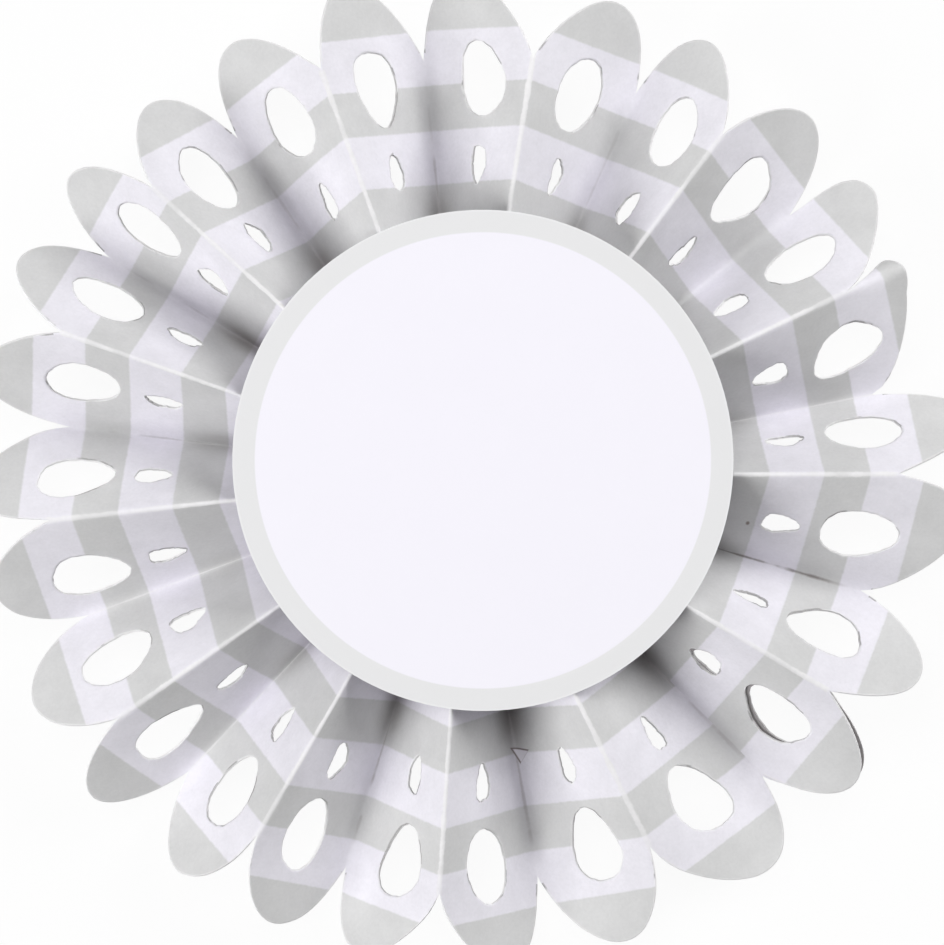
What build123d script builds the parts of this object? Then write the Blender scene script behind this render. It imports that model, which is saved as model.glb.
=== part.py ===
from build123d import *
from math import atan2, cos, radians, sin, sqrt, tan
import os

# Paper fan medallion lying on its back, in millimetres. The fan's axis is Z and the photograph's up is +Y.

# Azimuths of the hand-made folds about the fan's axis, in degrees, read from the photograph
RIDGES = [0.2, 25.8, 53.1, 81.0, 109.8, 137.6, 160.6, 186.2, 214.9, 239.8, 266.2, 296.2, 329.2]
VALLEYS = [11.2, 38.8, 66.1, 96.0, 124.3, 148.7, 173.1, 200.3, 226.8, 252.8, 279.9, 314.5, 343.6]

# The pleated strip
CARD = 0.3
PANEL_WIDTH = 20.8
NOTCH_DEPTH = 14.2
UNEVENNESS = 0.8
CREASE_WIDTH = 0.9
INNER_RADIUS = 7.0
CORE_RADIUS = 14.0
TIP_RADIUS = 76.0
PETAL_RISE = 11.25
PETAL_LENGTH = 60.0
PETAL_FULLNESS = 1.14
NOTCH_EASE = 0.1

# The two cut-outs of every panel
BIG_HOLE_FROM_TIP = 15.2
BIG_HOLE_LENGTH = 11.9
BIG_HOLE_WIDTH = 8.2
SMALL_HOLE_FROM_TIP = 27.9
SMALL_HOLE_LENGTH = 5.7
SMALL_HOLE_WIDTH = 3.8

# How finely the twist of a panel and the cut edges are drawn
FACETS = 6
BIG_NICKS = 20
SMALL_NICKS = 12
PETAL_NICKS = 48

# The strip's end is glued under the panel of this fold, slipped outwards a little
LAP_INDEX = 23
LAP_SLIP = 1.4

# The card circles glued to the front and the back of the gathered middle
DISC_DIAMETER = 74.9
DISC_CARD = 0.3
DISC_SHIFT_X = 2.4
DISC_SHIFT_Y = 2.2
BACKING_DIAMETER = 50.0
BACKING_CARD = 0.3

# Heights, radii and angles that follow from the sizes above
MIDDLE_HEIGHT = BACKING_CARD + (PANEL_WIDTH + CARD) / 2
DISC_HEIGHT = MIDDLE_HEIGHT + (PANEL_WIDTH + CARD) / 2
NOTCH_RADIUS = TIP_RADIUS - PETAL_RISE
BIG_HOLE_RADIUS = TIP_RADIUS - BIG_HOLE_FROM_TIP
SMALL_HOLE_RADIUS = TIP_RADIUS - SMALL_HOLE_FROM_TIP
EVEN_STEP = 180 / len(RIDGES)
CUT_DEPTH = PANEL_WIDTH / 2

FOLDS = sorted([(a, 1) for a in RIDGES] + [(a, -1) for a in VALLEYS])
COUNT = len(FOLDS)


def step_after(i):
    """Angle from fold i to the next fold round the fan."""
    return (FOLDS[(i + 1) % COUNT][0] - FOLDS[i % COUNT][0]) % 360


def fold_height(i, q):
    """Height of fold i over the fan's middle plane at radius q.

    A ridge and a valley one panel apart keep the panel's width between them, so the fold follows an ellipse:
    depth^2 = PANEL_WIDTH^2 - fall * (q^2 - CORE_RADIUS^2). Widely spread folds lie flatter at the notch.
    The fold is level over the glued core and straight past the notch.
    """
    spread = (step_after(i - 1) + step_after(i)) / 2 / EVEN_STEP
    end_depth = NOTCH_DEPTH * (1 - UNEVENNESS * (spread - 1))
    fall = (PANEL_WIDTH**2 - end_depth**2) / (NOTCH_RADIUS**2 - CORE_RADIUS**2)
    near = min(max(q, CORE_RADIUS), NOTCH_RADIUS)
    depth = sqrt(PANEL_WIDTH**2 - fall * (near**2 - CORE_RADIUS**2))
    slope = -fall * NOTCH_RADIUS / end_depth
    return (depth + slope * max(q - NOTCH_RADIUS, 0)) / 2


def fold_point(i, q):
    """Point of fold i at radius q."""
    azimuth, side = FOLDS[i % COUNT]
    a = radians(azimuth)
    return Vector(q * cos(a), q * sin(a), MIDDLE_HEIGHT + side * fold_height(i % COUNT, q))


def panel_edges(i, q):
    """Edge points at folds i and i + 1 of the panel between them, and the half thickness mitred at both."""
    start = fold_point(i, q)
    end = fold_point(i + 1, q)
    flat = Vector(end.X - start.X, end.Y - start.Y, 0)
    along = flat.normalized()
    tilt = atan2(start.Z - end.Z, flat.length - CREASE_WIDTH)
    mitre = along * (CARD / 2 * tan(tilt / 2)) + Vector(0, 0, CARD / 2)
    return start + along * (CREASE_WIDTH / 2), end - along * (CREASE_WIDTH / 2), mitre


def panel_point(i, q):
    """Point halfway across panel i at fold radius q."""
    start, end, mitre = panel_edges(i, q)
    return (start + end) / 2


def panel_section(i, q, layer=0):
    """Corners over and under panel i at fold radius q: first fold, its two panel edges, last fold.

    Layer 1 is a second thickness of card under the first.
    """
    start, end, mitre = panel_edges(i, q)
    start -= mitre * (2 * layer)
    end -= mitre * (2 * layer)
    up = Vector(0, 0, CARD / 2)
    first = fold_point(i, q)
    last = fold_point(i + 1, q)
    over = [first + up, start + mitre, end + mitre, last + up]
    under = [first - up, start - mitre, end - mitre, last - up]
    return over, under


def polygon(*corners):
    """Flat face through the corners."""
    return Face(Wire.make_polygon(corners))


def twisted(i, near, far):
    """The twisted stretch of panel i between two rulings: two flat facets bent along the ridge-to-valley diagonal."""
    ridge, valley = (1, 2) if FOLDS[i][1] > 0 else (2, 1)
    return [polygon(near[ridge], near[valley], far[valley]), polygon(near[ridge], far[valley], far[ridge])]


def plain_sheet(i, sections):
    """Panel i between the given sections, without its creases."""
    faces = []
    for (over, under), (far_over, far_under) in zip(sections, sections[1:]):
        faces += twisted(i, over, far_over) + twisted(i, under, far_under)
        for k in (1, 2):
            faces += [polygon(over[k], under[k], far_under[k]), polygon(over[k], far_under[k], far_over[k])]
    for over, under in (sections[0], sections[-1]):
        faces.append(polygon(over[1], over[2], under[2], under[1]))
    return Solid(Shell(faces))


def creased_sheet(i, sections):
    """Panel i between the given sections, with half of the narrow flat of the fold on either side."""
    faces = []
    for (over, under), (far_over, far_under) in zip(sections, sections[1:]):
        for near, far in ((over, far_over), (under, far_under)):
            faces += twisted(i, near, far)
            faces += [polygon(near[k], near[k + 1], far[k + 1], far[k]) for k in (0, 2)]
        faces += [polygon(over[k], under[k], far_under[k], far_over[k]) for k in (0, 3)]
    for over, under in (sections[0], sections[-1]):
        faces.append(polygon(*over, *reversed(under)))
    return Solid(Shell(faces))


def panel_plane(i, q):
    """Plane tangent to panel i in its middle at fold radius q, with x away from the axis."""
    start, end, mitre = panel_edges(i, q)
    outward = panel_point(i, q + CARD) - panel_point(i, q - CARD)
    normal = outward.cross(end - start)
    return Plane(origin=(start + end) / 2, x_dir=outward, z_dir=normal)


def oval(length, width, sides):
    """Ellipse as a blade leaves it in card: straight nicks between points a fixed angle apart, long in x."""
    turns = [radians(360 * n / sides) for n in range(sides)]
    return make_face(Polyline([(length / 2 * cos(a), width / 2 * sin(a)) for a in turns], close=True))


def hole(i, radius, length, width, sides):
    """Cutter for an oval hole in panel i."""
    plane = panel_plane(i, radius / cos(radians(step_after(i) / 2)))
    return extrude(plane * oval(length, width, sides), amount=CUT_DEPTH, both=True)


def petal_waste(i, slip):
    """Cutter that leaves panel i a round petal beyond the notch."""
    start, end, mitre = panel_edges(i, NOTCH_RADIUS)
    plane = panel_plane(i, NOTCH_RADIUS + slip)
    rise = TIP_RADIUS - NOTCH_RADIUS * cos(radians(step_after(i) / 2))
    width = (end - start).length
    outside = Pos(NOTCH_EASE, 0) * Rectangle(2 * rise, 2 * width, align=(Align.MIN, Align.CENTER))
    petal = Pos(rise - PETAL_LENGTH / 2, 0) * oval(PETAL_LENGTH, width * PETAL_FULLNESS, PETAL_NICKS)
    return extrude(plane * (outside - petal), amount=CUT_DEPTH, both=True)


def die_cut(i, card, slip=0):
    """Cuts the petal and the two holes out of the card of panel i, slipped outwards."""
    card -= petal_waste(i, slip)
    card -= hole(i, BIG_HOLE_RADIUS + slip, BIG_HOLE_LENGTH, BIG_HOLE_WIDTH, BIG_NICKS)
    card -= hole(i, SMALL_HOLE_RADIUS + slip, SMALL_HOLE_LENGTH, SMALL_HOLE_WIDTH, SMALL_NICKS)
    return card


# Radii of the straight rulings that each panel is drawn through
FACET = (NOTCH_RADIUS - CORE_RADIUS) / FACETS
RULINGS = [INNER_RADIUS] + [CORE_RADIUS + n * FACET for n in range(FACETS + 1)]
BEYOND_TIP = TIP_RADIUS + PETAL_RISE / 4


def panel(i):
    """One panel of the strip with its petal and its two holes."""
    pleat = creased_sheet(i, [panel_section(i, q) for q in RULINGS])
    petal = plain_sheet(i, [panel_section(i, q) for q in (NOTCH_RADIUS, BEYOND_TIP)])
    return die_cut(i, pleat + petal)


def lap(i):
    """The other end of the strip, glued under panel i from past the backing disc to the tip."""
    radii = [q for q in RULINGS if q > BACKING_DIAMETER / 2] + [BEYOND_TIP + LAP_SLIP]
    return die_cut(i, plain_sheet(i, [panel_section(i, q, layer=1) for q in radii]), LAP_SLIP)


# The whole strip is one sheet of card with its ends glued together, so its panels become one solid
panels = [panel(i) for i in range(COUNT)]
pleated_fan = panels[0].fuse(*panels[1:], lap(LAP_INDEX))

# The printed front circle is glued on a little off the middle, as in the photograph
front_disc = Pos(DISC_SHIFT_X, DISC_SHIFT_Y, DISC_HEIGHT) * extrude(Circle(DISC_DIAMETER / 2), amount=DISC_CARD)

backing_disc = extrude(Circle(BACKING_DIAMETER / 2), amount=BACKING_CARD)

os.makedirs("parts", exist_ok=True)
export_step(pleated_fan, "parts/pleated_fan.step")
export_step(front_disc, "parts/front_disc.step")
export_step(backing_disc, "parts/backing_disc.step")
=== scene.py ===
# %% [markdown]
# # A paper fan medallion
# A strip of striped card is die-cut with petals and oval holes, folded to and fro, closed into a ring and
# glued under a printed card circle. It lies on its back, and the camera looks straight down at it. The CAD
# model gives the places and sizes. This lesson gives the card its soft folds, its print and its worn edges,
# with painted shade in its valleys and painted highlights and shadows along some of its cuts.

# %% Load the frame
import bpy
import numpy as np
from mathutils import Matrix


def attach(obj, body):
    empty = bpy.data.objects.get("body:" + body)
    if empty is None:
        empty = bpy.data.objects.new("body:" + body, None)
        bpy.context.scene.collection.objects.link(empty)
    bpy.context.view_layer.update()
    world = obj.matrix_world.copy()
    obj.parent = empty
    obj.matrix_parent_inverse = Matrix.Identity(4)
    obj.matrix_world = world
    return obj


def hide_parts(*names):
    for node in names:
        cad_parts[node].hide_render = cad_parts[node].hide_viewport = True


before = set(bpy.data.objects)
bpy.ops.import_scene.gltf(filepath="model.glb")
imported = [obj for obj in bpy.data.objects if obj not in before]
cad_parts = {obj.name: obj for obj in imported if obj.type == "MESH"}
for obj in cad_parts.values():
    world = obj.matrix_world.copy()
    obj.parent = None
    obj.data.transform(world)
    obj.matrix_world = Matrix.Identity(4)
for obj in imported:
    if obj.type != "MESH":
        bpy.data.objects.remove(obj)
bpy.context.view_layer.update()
MM = 0.001

# %% [markdown]
# ## Where the folds are
# Nobody folds thirteen pleats evenly, so each fold has an azimuth of its own, the same as in the CAD model.
# The print doesn't start at the same height on every panel either: where the strip was folded a little
# askew, the panel slid in or out along the fold. `SLIDE` holds that distance for each fold, and
# `NOTCH_SLIDE` how much farther out than usual the notch between the two petals is.

# %% Folds of the strip
RIDGES = [0.2, 25.8, 53.1, 81.0, 109.8, 137.6, 160.6, 186.2, 214.9, 239.8, 266.2, 296.2, 329.2]
VALLEYS = [11.2, 38.8, 66.1, 96.0, 124.3, 148.7, 173.1, 200.3, 226.8, 252.8, 279.9, 314.5, 343.6]
RIDGE_SLIDE = [0, 0.5, 0, -0.5, 0, 0, 0, -1, 0, 0, -0.5, 0, -1.5]
VALLEY_SLIDE = [1, 0, 0.5, 0.5, -1, 1, -0.5, -0.5, -1, -1, -1, 0, 0]
RIDGE_NOTCH = [0.5, -1.5, -0.5, -0.5, 0.5, -0.5, 0, -0.5, -0.5, -2, -1, -2, 0.5]
VALLEY_NOTCH = [-1, 0, 0, 0, 0, 0, -1.5, -1, 0, 0.5, 0, 0, -0.5]

AZIMUTH = np.array([RIDGES, VALLEYS]).T.ravel()
SIDE = np.tile([1.0, -1.0], len(RIDGES))
SLIDE = np.array([RIDGE_SLIDE, VALLEY_SLIDE]).T.ravel()
NOTCH_SLIDE = np.array([RIDGE_NOTCH, VALLEY_NOTCH]).T.ravel()
COUNT = len(AZIMUTH)
print(COUNT, "folds")

# %% [markdown]
# ## The shape of a fold
# Two neighbouring folds stay one panel width apart, wherever they are measured. Towards the rim they spread
# apart sideways, so they have to come closer in height. That is Pythagoras, and it makes every fold an arc
# of an ellipse. Beyond the notch between two petals the card is no longer folded, and goes on straight.

# %% Height of the folds
PANEL_WIDTH, NOTCH_DEPTH, UNEVENNESS = 20.8, 14.2, 0.8
CORE, NOTCH, TIP = 14.0, 64.75, 76.0
CARD = 0.3
MIDDLE = CARD + (PANEL_WIDTH + CARD) / 2

STEP = (np.roll(AZIMUTH, -1) - AZIMUTH) % 360
EVEN_STEP = 180 / len(RIDGES)
SPREAD = (STEP + np.roll(STEP, 1)) / 2 / EVEN_STEP
END_DEPTH = NOTCH_DEPTH * (1 - UNEVENNESS * (SPREAD - 1))
FALL = (PANEL_WIDTH**2 - END_DEPTH**2) / (NOTCH**2 - CORE**2)


def fold_points(i, q):
    """Points of the folds numbered i at radii q.

    depth^2 = width^2 - fall * (q^2 - core^2), and the fold lies half the depth over or under the middle.
    """
    near = np.clip(q, CORE, NOTCH)
    depth = np.sqrt(PANEL_WIDTH**2 - FALL[i] * (near**2 - CORE**2))
    depth = depth - FALL[i] * NOTCH / END_DEPTH[i] * np.maximum(q - NOTCH, 0)
    a = np.radians(AZIMUTH[i])
    return np.stack([q * np.cos(a), q * np.sin(a), MIDDLE + SIDE[i] * depth / 2], axis=-1)


print("fold 0 at the notch", fold_points(0, NOTCH).round(2))

# %% [markdown]
# ## One panel, flat
# Before folding, all panels are alike: a strip with two oval holes and a petal at the end. The flat panel
# has two parameters, `m` along the fold in millimetres from the axis and `y` across it, from -1 at one fold
# to +1 at the next. A plain grid is enough up to the holes. Round a hole the grid is bent into rings, so
# that the rows of faces run along the cut edge and stay smooth: each ring lies a share `t` of the way from
# the hole to an outline.

# %% Outlines of the flat panel
ACROSS = np.array([-1, -0.985, -0.965, -0.935, -0.88, -0.72, -0.48, -0.24, 0])
ACROSS = np.concatenate([ACROSS, -ACROSS[-2::-1]])
RINGS = np.array([0, 0.05, 0.13, 0.27, 0.45, 0.63, 0.78, 0.88, 0.945, 0.975, 1.0])
PETAL_EXTRA = 0.9
PETAL_RISE = TIP + PETAL_EXTRA - NOTCH
SMALL_FROM, BIG_FROM = 43.6, 53.3
PLAIN_ROWS = np.concatenate([[7, 10, 14], np.linspace(17, 37, 9), np.linspace(38.5, SMALL_FROM, 5)])
SMALL_SIDES = np.linspace(SMALL_FROM, BIG_FROM, 11)
BIG_SIDES = np.linspace(BIG_FROM, NOTCH, 13)


def edge_path(*runs):
    """Closed outline from the given runs of points (m, y), each without its last point."""
    return np.concatenate([np.stack(np.broadcast_arrays(m, y), -1)[:-1] for m, y in runs])


# The petal is a parabola, m = notch + rise * (1 - y^2), as wide as the panel at the notch
petal_y = np.linspace(1, -1, 37)
petal_m = NOTCH + PETAL_RISE * (1 - petal_y**2)
small_outline = edge_path(
    (SMALL_FROM, ACROSS), (SMALL_SIDES, 1), (BIG_FROM, ACROSS[::-1]), (SMALL_SIDES[::-1], -1)
)
petal_outline = edge_path((BIG_FROM, ACROSS), (BIG_SIDES, 1), (petal_m, petal_y), (BIG_SIDES[::-1], -1))
print(len(small_outline), "points round the small hole,", len(petal_outline), "round the big one")

# %% [markdown]
# ## The blocks of the flat panel
# Three blocks make one panel: the plain grid from the middle of the fan, the rings round the small hole and
# the rings between the big hole and the petal's outline. Every point keeps its block, its ring `t`, its
# angle on the hole and its point on the outline, so that each panel can later get holes and a petal of its
# own.

# %% Grids and rings
def grid_faces(rows, columns, closed=False):
    """Quads of a grid: corner (r, c), (r, c+1), (r+1, c+1), (r+1, c), wrapping round when closed."""
    r, c = np.meshgrid(np.arange(rows - 1), np.arange(columns - (not closed)), indexing="ij")
    n = (c + 1) % columns
    corners = [r * columns + c, r * columns + n, (r + 1) * columns + n, (r + 1) * columns + c]
    return np.stack(corners, -1).reshape(-1, 4)


def ring_block(number, outline):
    """Rings of one hole: block number, t, evenly spaced angle on the hole, and outline point."""
    count = len(outline)
    step = 2 * np.pi / count
    angle = np.pi + step * (len(ACROSS) - 1) / 2 - step * np.arange(count)
    t, k = np.meshgrid(RINGS, np.arange(count), indexing="ij")
    rows = np.stack([np.full(t.size, number), t.ravel(), angle[k].ravel()], -1)
    return np.concatenate([rows, outline[k].reshape(-1, 2)], -1), grid_faces(len(RINGS), count, closed=True)


grid_m, grid_y = np.meshgrid(PLAIN_ROWS, ACROSS, indexing="ij")
plain = np.stack([0 * grid_m, 0 * grid_m + 1, 0 * grid_m, grid_m, grid_y], -1).reshape(-1, 5)
blocks = [
    (plain, grid_faces(len(PLAIN_ROWS), len(ACROSS))),
    ring_block(1, small_outline),
    ring_block(2, petal_outline),
]
print([len(block_quads) for block_rows, block_quads in blocks], "faces in the three blocks")

# %% [markdown]
# ## Sewing the blocks together
# The shared borders of the blocks have the same points, so merging equal points sews them together. `HOLES`
# has one row per block with the middle, half length and half width of its hole, and the plain block has
# none. Faces that the rings left upside down are turned over, which the sign of their area tells.

# %% The flat panel
HOLES = np.array([[0, 0, 0], [48.45, 2.85, 1.9], [61.25, 5.95, 4.1]])
HALF_PANEL = PANEL_WIDTH / 2


def place_on_panel(block, t, angle, outline, middle, halves, tilt):
    """Flat points (m, y): (1 - t) * hole + t * outline, where the hole is an ellipse turned by its tilt."""
    along, across = halves[..., 0] * np.cos(angle), halves[..., 1] * np.sin(angle)
    hole_m = middle[..., 0] + along * np.cos(tilt) - across * np.sin(tilt)
    hole_y = middle[..., 1] + along * np.sin(tilt) + across * np.cos(tilt)
    hole = np.stack([hole_m, hole_y / HALF_PANEL], -1)
    return np.where((block > 0)[..., None], hole + t[..., None] * (outline - hole), outline)


starts = np.cumsum([0] + [len(block_rows) for block_rows, block_quads in blocks])
rows = np.concatenate([block_rows for block_rows, block_quads in blocks])
quads = np.concatenate([block_quads + first for (block_rows, block_quads), first in zip(blocks, starts)])
block, t, angle, outline = rows[:, 0].astype(int), rows[:, 1], rows[:, 2], rows[:, 3:]
middle = np.stack([HOLES[block, 0], 0 * t], -1)
flat = place_on_panel(block, t, angle, outline, middle, HOLES[block, 1:], 0 * t)
first, merged = np.unique(np.round(flat, 5), axis=0, return_index=True, return_inverse=True)[1:]
quads = merged.reshape(-1)[quads]
flat, block, t, angle, outline = flat[first], block[first], t[first], angle[first], outline[first]

corner = flat[quads]
diagonal = corner[:, 2:] - corner[:, :2]
area = diagonal[:, 0, 0] * diagonal[:, 1, 1] - diagonal[:, 0, 1] * diagonal[:, 1, 0]
quads = np.where((area < 0)[:, None], quads[:, ::-1], quads)
print(len(flat), "points and", len(quads), "faces; smallest face", np.abs(area).min().round(4))

# %% [markdown]
# ## How each panel was cut
# The strip was cut by hand, so no panel is quite like the next. The lists go round the fan from the first
# ridge. They follow the photograph in steps of half a millimetre: how far a petal's tip leans sideways (in
# tenths of half the panel) and reaches out, how far aside the die struck both holes, and by how many
# degrees the big hole is turned. What nobody would miss is left to chance: where exactly a small hole sits,
# how far it is open, and where a big hole comes to a blunt point. One small hole is half filled by its own
# scrap.

# %% Cuts of the 26 panels
LEAN = [0.2, 0.9, 0.4, 0, 0.1, -0.1, 0.2, 0.2, 0.2, 0, 0, 0, 0.1]
LEAN += [0.4, 0, 0.1, 0, 0, 0, -0.3, 0.2, 0.1, 0.2, 0, -0.1, 0.3]
REACH = [1.5, -4, 0, 0, -0.5, 0, 0.5, 0.5, 0, -1, -0.5, -0.5, 0.5]
REACH += [0, -1, -1, 0, -0.5, -1, 0, 0.5, 0, 0, 0.5, 0.5, 0]
ASIDE = [1, 0, 0.5, -0.5, -2, 0.5, -1.5, 0.5, -1, 0.5, -2, -1, -0.5]
ASIDE += [2, 2, 0.5, -0.5, 0.5, -1, 2, -0.5, 1.5, 0, 0.5, -0.5, 0]
TILT = [-10, 25, 0, 0, 20, -10, 20, 0, 15, -5, 5, 0, 15]
TILT += [10, -10, 5, 0, 0, 10, -20, 15, -5, 15, -5, 5, 5]

HALF_FILLED, FILLED_OPEN = 24, 1.0
OUT_SPREAD, OPEN_LEAST, OPEN_MOST, POINT_MOST = 0.9, 1.3, 2.2, 0.08

die = np.random.default_rng(5)
SMALL_OUT = die.uniform(-OUT_SPREAD, OUT_SPREAD, COUNT)
SMALL_OPEN = die.uniform(OPEN_LEAST, OPEN_MOST, COUNT)
SMALL_OPEN[HALF_FILLED] = FILLED_OPEN
BIG_POINT = die.uniform(0, POINT_MOST, COUNT)
BIG_POINT_AT = die.uniform(-1, 1, COUNT)
SMALL_POINT_AT = die.uniform(0, 2, COUNT)
print("leans from", min(LEAN), "to", max(LEAN), "and small holes", np.round(2 * SMALL_OPEN, 1), "mm wide")

# %% [markdown]
# ## The order of the strip
# The strip starts at the fold `SEAM` and has one panel more than the ring, for the lap. Everything from
# here on has one row per panel of the strip, so a list that goes round the fan is put in the strip's order
# first.

# %% Panels of the strip
SEAM = 23
STRIP = COUNT + 1
PANELS = np.arange(STRIP)
panel_of = (PANELS + SEAM) % COUNT
strip_fold = (np.arange(STRIP + 1) + SEAM) % COUNT


def per_panel(values):
    """Values in the order of the strip's panels, as a column."""
    return np.array(values, float)[panel_of][:, None]


print(STRIP, "panels in the strip, from fold", SEAM)

# %% [markdown]
# ## Ragged holes
# The holes were punched by a blunt die, so their edges are ragged, and no two in the same way. A sum of
# sines round the hole stands for that, and a slow wave with three crests makes it a little pointed. The
# arrays have one row per panel of the strip and one column per point of the flat panel. The last panel is
# the lap under the first, and its holes are a little wider.

# %% Holes of all panels
chance = np.random.default_rng(7)
WAVES, WAVE_SIZES = np.array([2, 3, 5, 8, 13, 19]), np.array([0.35, 0.4, 0.3, 0.2, 0.2, 0.2])
BIG_NICK, SMALL_NICK, SMALL_POINT = 0.15, 0.22, 0.1
BIG_EASE, LAP_EASE_OUT = 0.05, 0.15


def ragged(turn):
    """Sum of sines round a cut edge, about -1 to 1, each panel with its own phases."""
    phase = chance.uniform(0, 2 * np.pi, (STRIP, 1, len(WAVES)))
    return (WAVE_SIZES * np.sin(turn[:, None] * WAVES + phase)).sum(-1)


big = block == 2
middle_m = HOLES[block, 0] + np.where(big, 0, per_panel(SMALL_OUT))
middle = np.stack([middle_m, per_panel(ASIDE) + 0 * t], -1)
nicks = np.where(big, BIG_NICK, SMALL_NICK) * ragged(angle)
point_at = np.where(big, per_panel(BIG_POINT_AT), per_panel(SMALL_POINT_AT))
pointed = 1 + np.where(big, per_panel(BIG_POINT), SMALL_POINT) * np.cos(3 * (angle - point_at))
half_length = HOLES[block, 1] + nicks
half_width = np.where(big, HOLES[2, 2] + BIG_EASE, per_panel(SMALL_OPEN)) + nicks
halves = np.stack([half_length, half_width], -1) * pointed[..., None]
halves[-1] += LAP_EASE_OUT
tilt = np.where(big, np.radians(per_panel(TILT)), 0)
print("big holes", (2 * half_length[:, big]).mean().round(2), "mm long on average")

# %% [markdown]
# ## Petals and notches
# A petal's lean and reach grow with the square of the distance beyond the small hole and vanish at the
# folds. Near a notch the points slide along their fold, so that each notch gets its own depth. `edge` is
# about the distance of a point from the nearest cut, for the wear.

# %% Points of all panels, still flat
LAP_LEAN, LAP_REACH = 0.1, -0.4
NOTCH_RUN = 3.5
NO_CUT, EDGE_LIMIT, HAIR = 9.0, 4.0, 0.01

beyond = np.clip((outline[:, 0] - BIG_FROM) / (TIP - BIG_FROM), 0, 1) ** 2
lean, reach_out = per_panel(LEAN), per_panel(REACH)
lean[-1], reach_out[-1] = LAP_LEAN, LAP_REACH
reached = outline[:, 0] + reach_out * beyond * (1 - outline[:, 1] ** 2)
leaned = outline[:, 1] + lean * beyond * (1 - outline[:, 1] ** 6)
petals = np.stack([reached, leaned], -1)
points = place_on_panel(block + 0 * PANELS[:, None], t, angle, petals, middle, halves, tilt)
m, y = points[..., 0], points[..., 1]
nearer = np.where(y < 0, NOTCH_SLIDE[strip_fold[:-1]][:, None], NOTCH_SLIDE[strip_fold[1:]][:, None])
m = m + nearer * np.clip(np.abs(y), 0, 1) ** 8 * np.exp(-(((m - NOTCH) / NOTCH_RUN) ** 2))

reach = np.hypot(outline[:, 0] - HOLES[block, 0], outline[:, 1] * HALF_PANEL) - HOLES[block, 1:].mean(-1)
petal_side = np.where(outline[:, 0] > NOTCH + HAIR, (1 - t) * reach, NO_CUT)
edge = np.clip(np.where(block > 0, np.minimum(t * reach, petal_side), NO_CUT), 0, EDGE_LIMIT)
print("points of the strip", m.shape, "edge distances", edge.min().round(3), "to", edge.max().round(2))

# %% [markdown]
# ## Folding the strip
# Each flat point goes to the straight line between its two folds. A sharp fold would look like sheet metal,
# so near a fold the card leaves the line and rounds the corner on a parabola: within a short bend it is
# pushed towards the inside by a share of the change of direction. The rounding takes a little height, so
# the folds start a little higher. The lap at the strip's end has a slide of its own at its two folds.

# %% Fold all panels
BEND_RIDGE, BEND_VALLEY, FOLD_LIFT = 0.7, 2.0, 0.2
SEAM_START, LAP_WIDTH, LAP_SLIDE = 0.15, 0.93, (1.2, -1.3)
strip_slide = SLIDE[strip_fold].copy()
strip_slide[[-2, -1]] = LAP_SLIDE


def strip_folds(k):
    """Points of the strip's folds numbered k, one for every panel and flat point, lifted for the rounding."""
    k = np.clip(k, 0, STRIP)
    i = strip_fold[k][:, None]
    place = fold_points(i, m + strip_slide[k][:, None])
    place[..., 2] += FOLD_LIFT * SIDE[i]
    return place


def unit(v):
    """Vectors of length one: each vector divided by its length."""
    return v / np.maximum(np.linalg.norm(v, axis=-1, keepdims=True), 1e-9)


def rounding(k, s):
    """Push towards the inside of fold k at distance s: (bend - s)^2 / (4 bend), and none past the bend."""
    bend = np.where(SIDE[strip_fold[k]] > 0, BEND_RIDGE, BEND_VALLEY)[:, None]
    return (np.maximum(bend - s, 0) ** 2 / (4 * bend))[..., None]


start, end = strip_folds(PANELS), strip_folds(PANELS + 1)
width = np.linalg.norm(end - start, axis=-1)
direction = unit(end - start)
before = np.where((PANELS > 0)[:, None, None], unit(start - strip_folds(PANELS - 1)), direction)
after = np.where((PANELS < STRIP - 1)[:, None, None], unit(strip_folds(PANELS + 2) - end), direction)
s = (1 + y) / 2 * width
s[0] = SEAM_START + s[0] * (1 - SEAM_START / width[0])
s[-1] *= LAP_WIDTH
folded = start + s[..., None] * direction
folded += rounding(PANELS, s) * (direction - before) + rounding(PANELS + 1, width - s) * (after - direction)
print("panel width from", width.min().round(2), "to", width.max().round(2), "mm")

# %% [markdown]
# ## Bow, curl and the glued lap
# Card is springy, so every panel bows out a little and every petal curls. The panels' normals tell which
# way that is. The strip is one panel longer than the ring: its last panel is glued under its first, so the
# first lies one thickness of card higher and the last one lower, and they meet at the valley. The last
# panel sags towards its tip and slipped sideways when it was glued, and its edge shows beside the petal and
# in the holes.

# %% Bow the panels and lay the lap
BOW, BOW_SPREAD, BOW_RUN = 0.25, 0.35, 30
CURL, CURL_SPREAD, CURL_LEAD, CURL_RUN = 0.3, 0.5, 3, 12
LAP_SLIP, LAP_GAP, LAP_EASE = 0.9, 0.34, 6
LAP_SAG, SAG_FROM, SAG_RUN = 0.5, 44, 20

turn = np.radians(AZIMUTH[strip_fold[:-1]])
outward = np.stack([np.cos(turn), np.sin(turn), np.zeros(STRIP)], -1)[:, None, :]
normal = unit(np.cross(outward, direction))
bow = chance.normal(BOW, BOW_SPREAD, STRIP)[:, None]
bow = bow * (1 - flat[:, 1] ** 2) * np.clip((m - CORE) / BOW_RUN, 0, 1)
curl = chance.normal(CURL, CURL_SPREAD, STRIP)[:, None]
curl = curl * np.clip((m - NOTCH + CURL_LEAD) / CURL_RUN, 0, 1) ** 2
bow[-1], curl[-1] = bow[0], curl[0]
eased = np.clip(s / LAP_EASE, 0, 1)
eased = eased**2 * (3 - 2 * eased)
lift = bow + curl
lift[0] += LAP_GAP * (1 - eased[0])
lift[-1] -= (LAP_GAP + LAP_SAG * np.clip((m[-1] - SAG_FROM) / SAG_RUN, 0, 1)) * eased[-1]
folded += lift[..., None] * normal
folded[-1] += LAP_SLIP * eased[-1][:, None] * direction[-1]
print("bow", bow.min().round(2), "to", bow.max().round(2), "mm")

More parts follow.
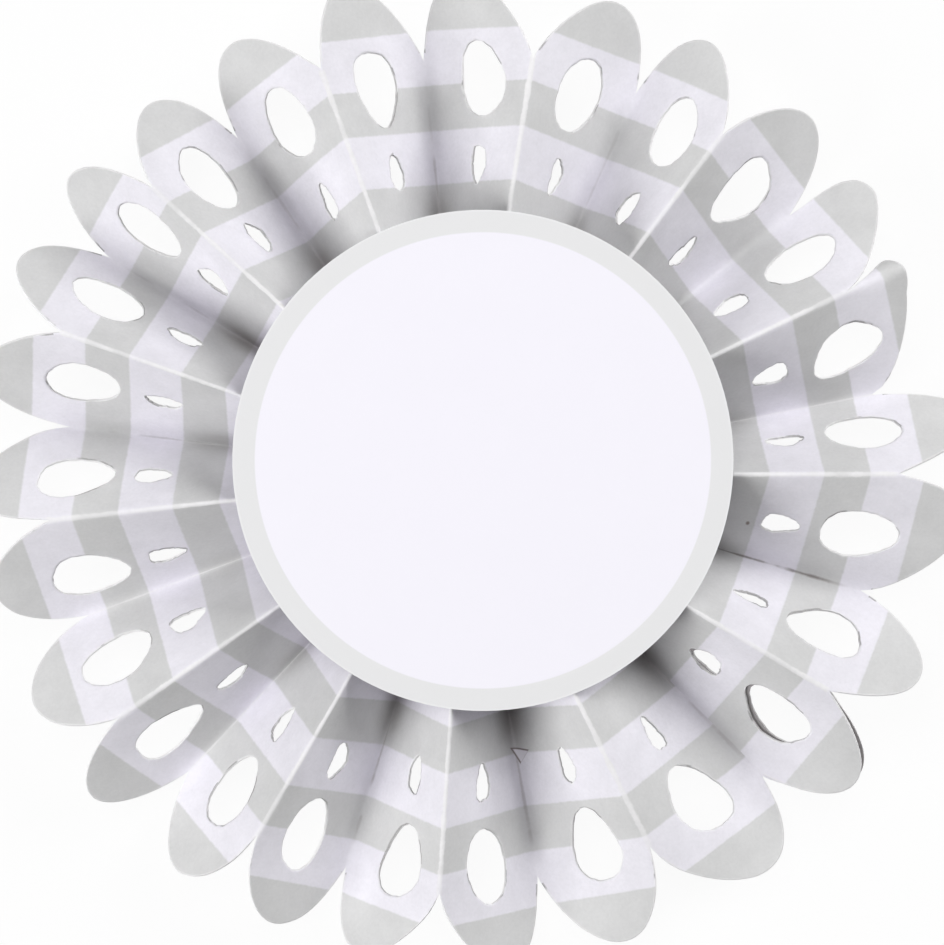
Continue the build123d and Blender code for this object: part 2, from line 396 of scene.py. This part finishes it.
# %% [markdown]
# ## One sheet of card
# Neighbouring panels share the points of their fold up to the notch, so these are merged and the strip
# becomes one sheet. Its vertex normals then carry it half a thickness up and half a thickness down, and the
# open borders get a narrow wall: the cut edge of the card.

# %% Sew the panels and give the card its thickness
here = np.round(flat, 5)
left = np.flatnonzero(here[:, 1] == -1)
right = np.flatnonzero(here[:, 1] == 1)
left, right = left[np.argsort(here[left, 0])], right[np.argsort(here[right, 0])]
number = np.arange(STRIP * len(flat)).reshape(STRIP, -1)
number[1:, left] = number[:-1, right]
used, compact = np.unique(number, return_inverse=True)
compact = compact.reshape(number.shape)
sheet = folded.reshape(-1, 3)[used]
faces = compact[:, quads].reshape(-1, 4)

spans = sheet[faces[:, 2:]] - sheet[faces[:, :2]]
face_normals = np.cross(spans[:, 0], spans[:, 1])
skin_normals = np.zeros_like(sheet)
np.add.at(skin_normals, faces, face_normals[:, None, :])
skin_normals = unit(skin_normals)

borders = np.stack([faces, np.roll(faces, -1, axis=1)], -1).reshape(-1, 2)
index, uses = np.unique(np.sort(borders, axis=1), axis=0, return_index=True, return_counts=True)[1:]
rim = borders[index[uses == 1]]
top, low = sheet + CARD / 2 * skin_normals, sheet - CARD / 2 * skin_normals
n = len(sheet)
walls = np.stack([rim[:, 1], rim[:, 0], rim[:, 0] + n, rim[:, 1] + n], -1)
card_points = np.concatenate([top, low])
card_faces = np.concatenate([faces, faces[:, ::-1] + n, walls])
print(n, "points in the sheet,", len(rim), "cut edges,", 2 * len(card_faces), "triangles")

# %% [markdown]
# ## A mesh from arrays
# Blender takes whole arrays of points and faces at once, which is far quicker than a loop over the points.
# Numbers that belong to the points, such as their place on the strip, are stored with them as attributes.

# %% Mesh helpers
def sheet_mesh(name, points, faces):
    """Mesh object at the origin from points in millimetres and four-cornered faces."""
    mesh = bpy.data.meshes.new(name)
    mesh.vertices.add(len(points))
    mesh.vertices.foreach_set("co", (points * MM).astype(np.float32).ravel())
    mesh.loops.add(faces.size)
    mesh.loops.foreach_set("vertex_index", faces.astype(np.int32).ravel())
    mesh.polygons.add(len(faces))
    mesh.polygons.foreach_set("loop_start", np.arange(0, faces.size, 4, dtype=np.int32))
    mesh.update(calc_edges=True)
    piece = bpy.data.objects.new(name, mesh)
    bpy.context.scene.collection.objects.link(piece)
    return piece


def point_values(piece, name, values):
    """Stores one number per point of the piece."""
    attribute = piece.data.attributes.new(name, "FLOAT", "POINT")
    attribute.data.foreach_set("value", values.astype(np.float32))


print("a millimetre is", MM, "of the scene's units")

# %% [markdown]
# ## The mesh of the fan
# The arrays go into one mesh. Material slot 0 is the printed front, slot 1 the plain back and slot 2 the
# cut edge. The edge at the seam is printed over, so it looks like the front. Attributes travel with the
# points, so that the print can follow the sheet round every fold: `along` is the distance along the fold,
# `across` runs from -1 in a valley to +1 on a ridge, and `edge` is the distance from a cut. Another
# attribute tells how much painted shade darkens a panel's valley, and `crease` how far its print has
# cracked there, or where it is negative, how dark a line of painted shade runs along it.

# %% Make the fan
# How much painted shade darkens each valley; and how far its print has cracked, or where negative, how dark a
# line of painted shade runs in its fold
VALLEY_SHADE = np.array([0.1, 0.2, 0.3, 0.5, 0.7, 0.65, 0.1, 0, 0.05, 0.45, 0.7, 0.6, 0.2])
VALLEY_CREASE = np.array([0.5, 0, -0.15, -0.3, -0.2, -0.2, -0.3, 0.8, 0.7, -0.4, -0.35, -0.25, -0.75])
PRINTED, PLAIN, CUT = 0, 1, 2

fan = sheet_mesh("striped_fan", card_points, card_faces)
valley_of = np.where(SIDE[strip_fold[:-1]] < 0, strip_fold[:-1], strip_fold[1:])[:, None] // 2
ridge_sign = SIDE[strip_fold[1:]][:, None]
for name, values in (
    ("along", m),
    ("across", y * ridge_sign),
    ("edge", edge),
    ("panel", PANELS[:, None]),
    ("valley_shade", VALLEY_SHADE[valley_of]),
    ("crease", VALLEY_CREASE[valley_of]),
):
    values = np.broadcast_to(values, y.shape)
    point_values(fan, name, np.tile(values.reshape(-1)[used], 2))

kind = np.repeat([PRINTED, PLAIN, CUT], [len(faces), len(faces), len(walls)]).astype(np.int32)
kind[2 * len(faces):][np.isin(rim, compact[0, left]).all(axis=1)] = PRINTED
fan.data.polygons.foreach_set("material_index", kind)
sharp = fan.data.attributes.new("sharp_face", "BOOLEAN", "FACE")
sharp.data.foreach_set("value", kind == CUT)
print(fan.name, len(fan.data.vertices), "points,", len(fan.data.polygons), "faces")

# %% [markdown]
# ## Short words for nodes
# A finish is a network of many small nodes. A few helpers, each for one kind of node, keep the finishes
# readable: they take sockets or plain numbers and give back the socket with the result.

# %% Node helpers
def node(tree, kind, **settings):
    """Adds a node to the tree and sets its properties and, by name, its unlinked inputs."""
    made = tree.nodes.new(kind)
    for key, value in settings.items():
        if hasattr(made, key):
            setattr(made, key, value)
        else:
            made.inputs[key].default_value = value
    return made


def feed(tree, socket, value):
    """Links the socket to another socket, or sets it to a plain value."""
    if isinstance(value, bpy.types.NodeSocket):
        tree.links.new(value, socket)
    else:
        socket.default_value = value


def maths(tree, operation, a, b, clamp=False):
    """One math node: a and b joined by the operation."""
    made = node(tree, "ShaderNodeMath", operation=operation, use_clamp=clamp)
    feed(tree, made.inputs[0], a)
    feed(tree, made.inputs[1], b)
    return made.outputs[0]


def times(tree, a, b, *more):
    """Product of all the values."""
    made = maths(tree, "MULTIPLY", a, b)
    return times(tree, made, *more) if more else made


def mix(tree, mask, a, b):
    """Colour a where the mask is 0, colour b where it is 1."""
    made = node(tree, "ShaderNodeMix", data_type="RGBA")
    for socket, value in zip((made.inputs[0], made.inputs[6], made.inputs[7]), (mask, a, b)):
        feed(tree, socket, value)
    return made.outputs[2]


def band(tree, value, low, high):
    """Smooth step of a value from 0 at low to 1 at high."""
    made = node(tree, "ShaderNodeMapRange", interpolation_type="SMOOTHSTEP")
    tree.links.new(value, made.inputs[0])
    made.inputs[1].default_value, made.inputs[2].default_value = low, high
    return made.outputs[0]


def noise(tree, place, scale, detail, roughness):
    """Cloudy noise around 0.5, with the scale in clouds per metre."""
    made = node(tree, "ShaderNodeTexNoise", Scale=scale, Detail=detail, Roughness=roughness)
    tree.links.new(place, made.inputs["Vector"])
    return made.outputs["Fac"]


print("helpers", [helper.__name__ for helper in (node, feed, maths, times, mix, band, noise)])

# %% [markdown]
# ## Places and colours in a finish
# A finish needs to know where on the piece it is, and Object coordinates tell that in metres. Colours are
# easiest to name as they look on a screen, but the renderer counts light, so they are turned into linear
# values first.

# %% Place and colour helpers
def object_place(tree):
    """Object coordinates, in metres."""
    return tree.nodes.new("ShaderNodeTexCoord").outputs["Object"]


def seen_from_above(tree, place):
    """The place with its height set to nothing."""
    made = node(tree, "ShaderNodeVectorMath", operation="MULTIPLY")
    made.inputs[1].default_value = (1, 1, 0)
    tree.links.new(place, made.inputs[0])
    return made.outputs[0]


def distance_from(tree, level, middle):
    """Distance in metres of a level place from a middle in millimetres."""
    made = node(tree, "ShaderNodeVectorMath", operation="DISTANCE")
    made.inputs[1].default_value = (middle[0] * MM, middle[1] * MM, 0)
    tree.links.new(level, made.inputs[0])
    return made.outputs["Value"]


def shade_of(*rgb):
    """Linear colour, with alpha, of a screen colour c from 0 to 255.

    It is ((c/255 + 0.055) / 1.055)^2.4, or c/255 / 12.92 where the colour is very dark.
    """
    c = np.array(rgb) / 255
    return (*np.where(c <= 0.04045, c / 12.92, ((c + 0.055) / 1.055) ** 2.4), 1.0)


print("half grey on a screen is", np.round(shade_of(128)[0], 3), "in linear light")

# %% [markdown]
# ## Paper grain, shared by all card
# Card is never perfectly even: fibres show as a fine mottle in its colour and as a slight roughness that
# catches the light. Every finish here needs it, so it is a node group with named inputs, built once and
# placed where it is wanted.

# %% The paper grain group
FIBRE_SHARE, GRAIN_MEAN = 0.6, 0.8

grain = bpy.data.node_groups.new("paper_grain", "ShaderNodeTree")
grain.interface.new_socket("Color", in_out="INPUT", socket_type="NodeSocketColor")
grain.interface.new_socket("Mottle", in_out="INPUT", socket_type="NodeSocketFloat")
grain.interface.new_socket("Color", in_out="OUTPUT", socket_type="NodeSocketColor")
grain.interface.new_socket("Height", in_out="OUTPUT", socket_type="NodeSocketFloat")
into, out = grain.nodes.new("NodeGroupInput"), grain.nodes.new("NodeGroupOutput")
place = object_place(grain)
fibres = noise(grain, place, scale=1900.0, detail=3.0, roughness=0.6)
clouds = noise(grain, place, scale=160.0, detail=4.0, roughness=0.65)
uneven = maths(grain, "ADD", times(grain, fibres, FIBRE_SHARE), clouds)
shade = times(grain, maths(grain, "SUBTRACT", uneven, GRAIN_MEAN), into.outputs["Mottle"])
shaded = node(grain, "ShaderNodeVectorMath", operation="SCALE")
grain.links.new(into.outputs["Color"], shaded.inputs[0])
grain.links.new(maths(grain, "ADD", shade, 1.0), shaded.inputs["Scale"])
grain.links.new(shaded.outputs[0], out.inputs["Color"])
grain.links.new(uneven, out.inputs["Height"])
print("node group", grain.name, "with", len(grain.nodes), "nodes")

# %% [markdown]
# ## A card finish
# Uncoated card is matte: high roughness and little specular. `card_finish` makes the material, and
# `add_grain` sends a colour through the grain group and lets the grain's height bend the normal a little.

# %% The card finish
GRAIN_DEPTH = 0.04 * MM


def card_finish(name, roughness=0.75, specular=0.25):
    """New material with a Principled shader, ready for card."""
    material = bpy.data.materials.new(name)
    material.use_nodes = True
    shader = material.node_tree.nodes["Principled BSDF"]
    shader.inputs["Roughness"].default_value = roughness
    shader.inputs["Specular IOR Level"].default_value = specular
    return material, material.node_tree, shader


def add_grain(tree, shader, colour, mottle, bump):
    """Sends the colour through the paper grain into the shader, and the grain's height into its normal."""
    card = tree.nodes.new("ShaderNodeGroup")
    card.node_tree = grain
    card.inputs["Mottle"].default_value = mottle
    feed(tree, card.inputs["Color"], colour)
    tree.links.new(card.outputs["Color"], shader.inputs["Base Color"])
    rough = node(tree, "ShaderNodeBump", Strength=bump, Distance=GRAIN_DEPTH)
    tree.links.new(card.outputs["Height"], rough.inputs["Height"])
    tree.links.new(rough.outputs["Normal"], shader.inputs["Normal"])


print("grain", GRAIN_DEPTH / MM, "mm deep")

# %% [markdown]
# ## The striped print
# The print is two colours, a lavender white and a light grey, in bands that run across the strip. Reading
# `along` keeps every band at the same height on a panel however the panel leans. A fine noise frays the
# borders of the bands a little, as ink does on card, and the outermost band goes on to the tip.

# %% Bands of the printed front
STRIPE_START, STRIPE_PERIOD, GREY_SHARE = 38.36, 15.43, 0.4595
FRAY, BORDER, WHOLE_TURNS = 0.3, 0.014, 8.0
LAST_CHANGE = TIP - 2
PALE, GREY = shade_of(241, 239, 246), shade_of(217, 217, 217)

front, tree, shader = card_finish("striped_front")
along, across, cut, panel, valley_shade, crease = [
    node(tree, "ShaderNodeAttribute", attribute_name=name).outputs["Fac"]
    for name in ("along", "across", "edge", "panel", "valley_shade", "crease")
]
place = object_place(tree)
fuzz = noise(tree, place, scale=900.0, detail=3.0, roughness=0.6)
wobble = times(tree, maths(tree, "SUBTRACT", fuzz, 0.5), FRAY)
height = maths(tree, "MINIMUM", maths(tree, "ADD", along, wobble), LAST_CHANGE)
turned = maths(tree, "DIVIDE", maths(tree, "SUBTRACT", height, STRIPE_START), STRIPE_PERIOD)
within = node(tree, "ShaderNodeMath", operation="FRACT")
tree.links.new(maths(tree, "ADD", turned, WHOLE_TURNS), within.inputs[0])
off_middle = node(tree, "ShaderNodeMath", operation="ABSOLUTE")
tree.links.new(maths(tree, "SUBTRACT", within.outputs[0], GREY_SHARE / 2), off_middle.inputs[0])
next_middle = maths(tree, "SUBTRACT", 1.0, off_middle.outputs[0])
nearest = maths(tree, "MINIMUM", off_middle.outputs[0], next_middle)
stripe = band(tree, nearest, GREY_SHARE / 2 + BORDER, GREY_SHARE / 2 - BORDER)
printed = mix(tree, stripe, PALE, GREY)
print("stripes every", STRIPE_PERIOD, "mm, grey for", round(STRIPE_PERIOD * GREY_SHARE, 2), "mm")

# %% [markdown]
# ## Cracked folds, pale cuts and painted edge shadows
# On the ridges the print has cracked and the white card shows as a broken line, in the valleys only here
# and there, and along the cuts a hair of pale card shows, partly worn print and partly a painted highlight.
# Parts of the holes' edges get a painted shadow instead. A noise is added to the distance from the fold or
# the cut, so that the borders of these marks run unevenly, and large patches break the lines. Each pair of
# numbers tells where a mark ends and where it is full: a distance in millimetres, a place along the fold,
# or a value of the patches.

# %% Wear, painted highlight and painted shadow masks
# Bare card, and the colour of the painted shadow along the holes' edges
PAPER, EDGE_SHADOW = shade_of(244, 243, 244), shade_of(110, 106, 106)
RIDGE_LINE, VALLEY_LINE, EDGE_LINE, EDGE_SHADOW_LINE = (0.95, 0.65), (0.8, 0.5), (0.6, 0.35), (0.55, 0.3)
CRACK_END, EDGE_SHADOW_END = (NOTCH + 0.6, NOTCH - 0.2), (68.5, 67.0)
WORN_PATCHES, EDGE_SHADOW_PATCHES = (0.38, 0.6), (0.54, 0.6)
FOLD_FRAY, EDGE_FRAY, EDGE_SHADOW_FRAY = 0.8, 0.5, 0.4
WORN_LEAST, WORN_MORE, EDGE_SHARE = 0.4, 0.5, 0.5

from_ridge = times(tree, maths(tree, "SUBTRACT", 1.0, across), HALF_PANEL)
from_valley = times(tree, maths(tree, "ADD", across, 1.0), HALF_PANEL)
uneven = noise(tree, place, scale=420.0, detail=4.0, roughness=0.7)
patches = noise(tree, place, scale=150.0, detail=3.0, roughness=0.5)


def frayed(distance, amount):
    """Distance plus the uneven noise times an amount."""
    return maths(tree, "ADD", distance, times(tree, uneven, amount))


worn = times(tree, band(tree, patches, *WORN_PATCHES), WORN_MORE)
worn = maths(tree, "ADD", worn, WORN_LEAST)
ridge_line = band(tree, frayed(from_ridge, FOLD_FRAY), *RIDGE_LINE)
cracked = times(tree, ridge_line, band(tree, along, *CRACK_END), worn)
# Pale card along the cuts: partly worn print, partly a painted highlight of the cut edge
worn_and_lit_edge = times(tree, band(tree, frayed(cut, EDGE_FRAY), *EDGE_LINE), EDGE_SHARE)
# Painted shadow along parts of the holes' cut edges
edge_shadow = times(tree, band(tree, frayed(cut, EDGE_SHADOW_FRAY), *EDGE_SHADOW_LINE), band(tree, patches, *EDGE_SHADOW_PATCHES))
edge_shadow = times(tree, edge_shadow, band(tree, along, *EDGE_SHADOW_END))
line_edge = frayed(from_valley, FOLD_FRAY)
valley_line = times(tree, band(tree, line_edge, *VALLEY_LINE), worn, crease)
# Where pale card shows: cracked print, and along the cuts worn print with a painted highlight
bare = maths(tree, "MAXIMUM", maths(tree, "MAXIMUM", cracked, worn_and_lit_edge), valley_line)
print("masks", len(tree.nodes), "nodes so far")

# %% [markdown]
# ## Painted shade in the valleys
# The valleys are darkened with painted shade, more in some than in others: a paler shade far out, a darker
# one beside the circle, and in some valleys a broken dark line in the fold itself. The lap that shows beside
# the first panel is painted darker than the print, as painted shade for the shadow of the petal above it.

# %% Painted shade in the valleys and on the lap
# Colours of painted shade: far out in the valleys, deep beside the circle and in the fold lines, and on the
# lap
FAR_SHADE, DEEP_SHADE, LAP_SHADE = shade_of(134, 130, 142), shade_of(112, 102, 99), shade_of(165, 161, 162)
FAR_SHADE_SHARE, DEEP_SHARE, DEEP_LEAST, EDGE_SHADOW_SHARE = 0.45, 0.65, 0.1, 0.6
FAR_SHADE_WIDTH, DEEP_WIDTH, LINE_SHADE_WIDTH, LAP_SHOWS = (4.0, 0.0), (7.0, 0.5), (1.15, 0.5), (3.0, 6.0)
FAR_SHADE_END, DEEP_END, LINE_SHADE_END = (64.5, 58.0), (47.0, 39.0), (63.0, 57.0)
LINE_SHADE_PATCHES, LAP_PANEL = (0.36, 0.56), (COUNT - 0.6, COUNT - 0.4)

# Painted shade: a pale film of shade far out in the valleys
far_shade = times(tree, band(tree, from_valley, *FAR_SHADE_WIDTH), band(tree, along, *FAR_SHADE_END), valley_shade, FAR_SHADE_SHARE)
deep_amount = maths(tree, "ADD", times(tree, valley_shade, DEEP_SHARE), DEEP_LEAST)
# Painted shade: darker deep in the valleys beside the circle
deep = times(tree, band(tree, from_valley, *DEEP_WIDTH), band(tree, along, *DEEP_END), deep_amount)
# Painted shade: a broken dark line in the folds of some valleys
line_shade = times(tree, band(tree, line_edge, *LINE_SHADE_WIDTH), band(tree, patches, *LINE_SHADE_PATCHES))
line_shade = times(tree, line_shade, band(tree, along, *LINE_SHADE_END))
dark_line = maths(tree, "MULTIPLY", line_shade, times(tree, crease, -1.0), clamp=True)
shaded_print = mix(tree, far_shade, printed, FAR_SHADE)
shaded_print = mix(tree, maths(tree, "MAXIMUM", deep, dark_line), shaded_print, DEEP_SHADE)
edged = mix(tree, times(tree, edge_shadow, EDGE_SHADOW_SHARE), mix(tree, bare, shaded_print, PAPER), EDGE_SHADOW)
# Painted shade on the lap beside the first panel, for the shadow of the petal above it
on_lap = times(tree, band(tree, panel, *LAP_PANEL), band(tree, from_valley, *LAP_SHOWS))
glued = mix(tree, on_lap, edged, LAP_SHADE)
print("shadiest valley", VALLEY_SHADE.max(), "darkest line", -VALLEY_CREASE.min())

# %% [markdown]
# ## A tear and a speck
# One panel has a little three-sided tear beside its valley, and another a dark speck. Both are placed in
# Object coordinates seen from above. The tear is the smallest of its distances from three lines, and the
# dark slit is the same triangle grown on two sides.

# %% Small blemishes
TEAR, SLIT_WIDTH = [(7.2, -43.1), (8.5, -45.1), (9.5, -43.15)], 0.25 * MM
SPECK, SPECK_SIZE = (43.2, -7.4), (0.42 * MM, 0.12 * MM)
SLIT_TONE, FLAP_TONE = shade_of(128, 119, 118), shade_of(224, 221, 228)
SPECK_TONE = shade_of(146, 136, 130)
SOFT = 0.1 * MM
level = seen_from_above(tree, place)


def past_side(a, b):
    """Distance in metres to the left of the line from point a to point b, both in millimetres."""
    n = unit(np.array([a[1] - b[1], b[0] - a[0], 0.0]))
    made = node(tree, "ShaderNodeVectorMath", operation="DOT_PRODUCT")
    made.inputs[1].default_value = n
    tree.links.new(level, made.inputs[0])
    return maths(tree, "SUBTRACT", made.outputs["Value"], float(n[:2] @ np.array(a)) * MM)


left_side, right_side, top_side = [past_side(TEAR[k], TEAR[(k + 1) % 3]) for k in range(3)]
flap = maths(tree, "MINIMUM", maths(tree, "MINIMUM", left_side, right_side), top_side)
slit = maths(tree, "ADD", maths(tree, "MINIMUM", left_side, top_side), SLIT_WIDTH)
slit = maths(tree, "MINIMUM", slit, right_side)
torn = mix(tree, band(tree, slit, -SOFT, SOFT), glued, SLIT_TONE)
torn = mix(tree, band(tree, flap, -SOFT, SOFT), torn, FLAP_TONE)
on_speck = band(tree, distance_from(tree, level, SPECK), *SPECK_SIZE)
add_grain(tree, shader, mix(tree, on_speck, torn, SPECK_TONE), mottle=0.22, bump=0.3)
print("printed front with", len(tree.nodes), "nodes")

# %% [markdown]
# ## The unprinted sides
# The back of the strip and its cut edges are bare card, a warmer white than the print. With its three
# finishes the fan is done: it rides on the one body and takes the place of the CAD strip.

# %% Back and edges of the fan
back, tree, shader = card_finish("plain_back")
add_grain(tree, shader, shade_of(238, 237, 235), mottle=0.08, bump=0.25)
cut_edge, tree, shader = card_finish("cut_edge", roughness=0.85)
add_grain(tree, shader, PAPER, mottle=0.12, bump=0.4)
for material in (front, back, cut_edge):
    fan.data.materials.append(material)
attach(fan, "root")
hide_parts("pleated_fan")
print("fan materials", [slot.name for slot in fan.data.materials])

# %% [markdown]
# ## The printed circle
# The circles on the front and the back are right as the CAD model has them, so they only get a better
# finish. The front one has a white field inside a pale grey ring, and a painted highlight along its rim. The
# distance from the circle's own middle, in Object coordinates, tells field from ring.

# %% Front and back circles
DISC_MIDDLE = (2.4, 2.2)
FIELD_RADIUS, DISC_RADIUS = 34.1 * MM, 37.45 * MM
RING_BORDER = 0.12 * MM
RIM_HIGHLIGHT_BAND = (DISC_RADIUS - 0.35 * MM, DISC_RADIUS - 0.1 * MM)
FIELD, RING, RIM_HIGHLIGHT = shade_of(248, 246, 254), shade_of(234, 234, 235), shade_of(240, 240, 241)

disc_card, tree, shader = card_finish("printed_circle", roughness=0.7, specular=0.1)
radius = distance_from(tree, seen_from_above(tree, object_place(tree)), DISC_MIDDLE)
ring = band(tree, radius, FIELD_RADIUS - RING_BORDER, FIELD_RADIUS + RING_BORDER)
# The lighter band at the rim is a painted highlight of the cut edge
circle_print = mix(tree, band(tree, radius, *RIM_HIGHLIGHT_BAND), mix(tree, ring, FIELD, RING), RIM_HIGHLIGHT)
add_grain(tree, shader, circle_print, mottle=0.02, bump=0.12)

plain_card, tree, shader = card_finish("plain_circle", roughness=0.8)
add_grain(tree, shader, shade_of(239, 238, 236), mottle=0.06, bump=0.3)
for name, card in (("front_disc", disc_card), ("backing_disc", plain_card)):
    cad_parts[name].data.materials.clear()
    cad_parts[name].data.materials.append(card)
print("field", round(FIELD_RADIUS / MM, 2), "of", round(DISC_RADIUS / MM, 2), "mm")

# %% [markdown]
# ## The table
# The fan lies on a white table. Towards the camera the table is mostly plain white, and the rest of it is a
# real surface that keeps the fan's soft shadow. Away from the fan it fades to plain white, so that no
# horizon shows in a low view. It lies a hair under the fan's back, because two faces at one height would
# flicker.

# %% Floor
FLOOR_HALF, FLOOR_DROP = 3.0, 0.05
NEAR_WHITE, FADE_FROM, FADE_TO = 0.93, 0.15, 0.5
TABLE_WHITE = (0.9, 0.9, 0.9, 1)


def background_rays(tree):
    """1 for rays that come from the camera, straight or by way of a gloss or glass, and 0 for all others."""
    path = tree.nodes.new("ShaderNodeLightPath")
    seen = maths(tree, "MAXIMUM", path.outputs["Is Camera Ray"], path.outputs["Is Glossy Ray"])
    return maths(tree, "MAXIMUM", seen, path.outputs["Is Transmission Ray"])


corners = np.array([[-1, -1], [1, -1], [1, 1], [-1, 1]]) * FLOOR_HALF / MM
corners = np.column_stack([corners, np.full(4, -FLOOR_DROP)])
floor = sheet_mesh("table", corners, np.array([[0, 1, 2, 3]]))
table, tree, shader = card_finish("white_table", roughness=0.9, specular=0)
shader.inputs["Base Color"].default_value = TABLE_WHITE
away = node(tree, "ShaderNodeVectorMath", operation="LENGTH")
tree.links.new(object_place(tree), away.inputs[0])
fade = times(tree, band(tree, away.outputs["Value"], FADE_FROM, FADE_TO), 1 - NEAR_WHITE)
plain_white = maths(tree, "ADD", fade, NEAR_WHITE)
white = node(tree, "ShaderNodeEmission", Color=(1, 1, 1, 1), Strength=1.0)
blend = tree.nodes.new("ShaderNodeMixShader")
tree.links.new(times(tree, background_rays(tree), plain_white), blend.inputs[0])
tree.links.new(shader.outputs[0], blend.inputs[1])
tree.links.new(white.outputs[0], blend.inputs[2])
tree.links.new(blend.outputs[0], tree.nodes["Material Output"].inputs["Surface"])
floor.data.materials.append(table)
print("floor", FLOOR_HALF * 2, "m across")

# %% [markdown]
# ## Light
# Two large soft boxes stand at the upper right and the lower left, a weaker one hangs above and the world
# fills in a little. Light comes low from two sides, so the folds that run towards a box are open to it and
# the folds across it stay dark. Together they light a level sheet to about its own colour. The world is
# white only where it is seen.

# %% World and lamps
FILL = 0.02
BOX_DISTANCE, BOX_SIZE = 1.2, 0.7

scene = bpy.context.scene
world = bpy.data.worlds.new("studio")
scene.world = world
world.use_nodes = True
tree = world.node_tree
sky = tree.nodes["Background"]
sky.inputs["Color"].default_value = (1, 1, 1, 1)
brightness = maths(tree, "ADD", times(tree, background_rays(tree), 1 - FILL), FILL)
tree.links.new(brightness, sky.inputs["Strength"])


def soft_box(name, azimuth, elevation, power):
    """Square lamp that faces the fan from an azimuth and elevation in degrees, with its power in watts."""
    a, e = np.radians(azimuth), np.radians(elevation)
    lamp = bpy.data.lights.new(name, "AREA")
    lamp.size, lamp.energy = BOX_SIZE, power
    stand = bpy.data.objects.new(name, lamp)
    stand.location = BOX_DISTANCE * np.array([np.cos(e) * np.cos(a), np.cos(e) * np.sin(a), np.sin(e)])
    stand.rotation_euler = (np.pi / 2 - e, 0, a + np.pi / 2)
    scene.collection.objects.link(stand)
    return stand


right_box = soft_box("right_box", azimuth=36, elevation=32, power=9.2)
left_box = soft_box("left_box", azimuth=206, elevation=32, power=9.5)
top_box = soft_box("top_box", azimuth=120, elevation=74, power=5.4)
print("lamps at", [np.round(lamp.location, 2).tolist() for lamp in (right_box, left_box, top_box)])

# %% [markdown]
# ## Camera
# The camera looks straight down from above the middle of the fan. It is close enough for the ridges to look
# larger than the valleys, which is how the distance was found, and the lens then fills the frame from edge
# to edge.

# %% Camera
LENS, SENSOR = 93.3, 36.0
EYE = np.array([0.77, 0.385, 387.7])

eye = bpy.data.cameras.new("eye")
eye.lens, eye.sensor_width = LENS, SENSOR
eye.clip_start = 0.01
camera = bpy.data.objects.new("eye", eye)
camera.location = EYE * MM
scene.collection.objects.link(camera)
scene.camera = camera
scene.view_settings.view_transform = "Standard"
print("camera", np.round(camera.location, 4))

# %% [markdown]
# ## Bring the scene up to date
# The view layer is brought up to date. The card must stay inside the CAD model's box, apart from a little
# curl.

# %% Update the view layer
bpy.context.view_layer.update()
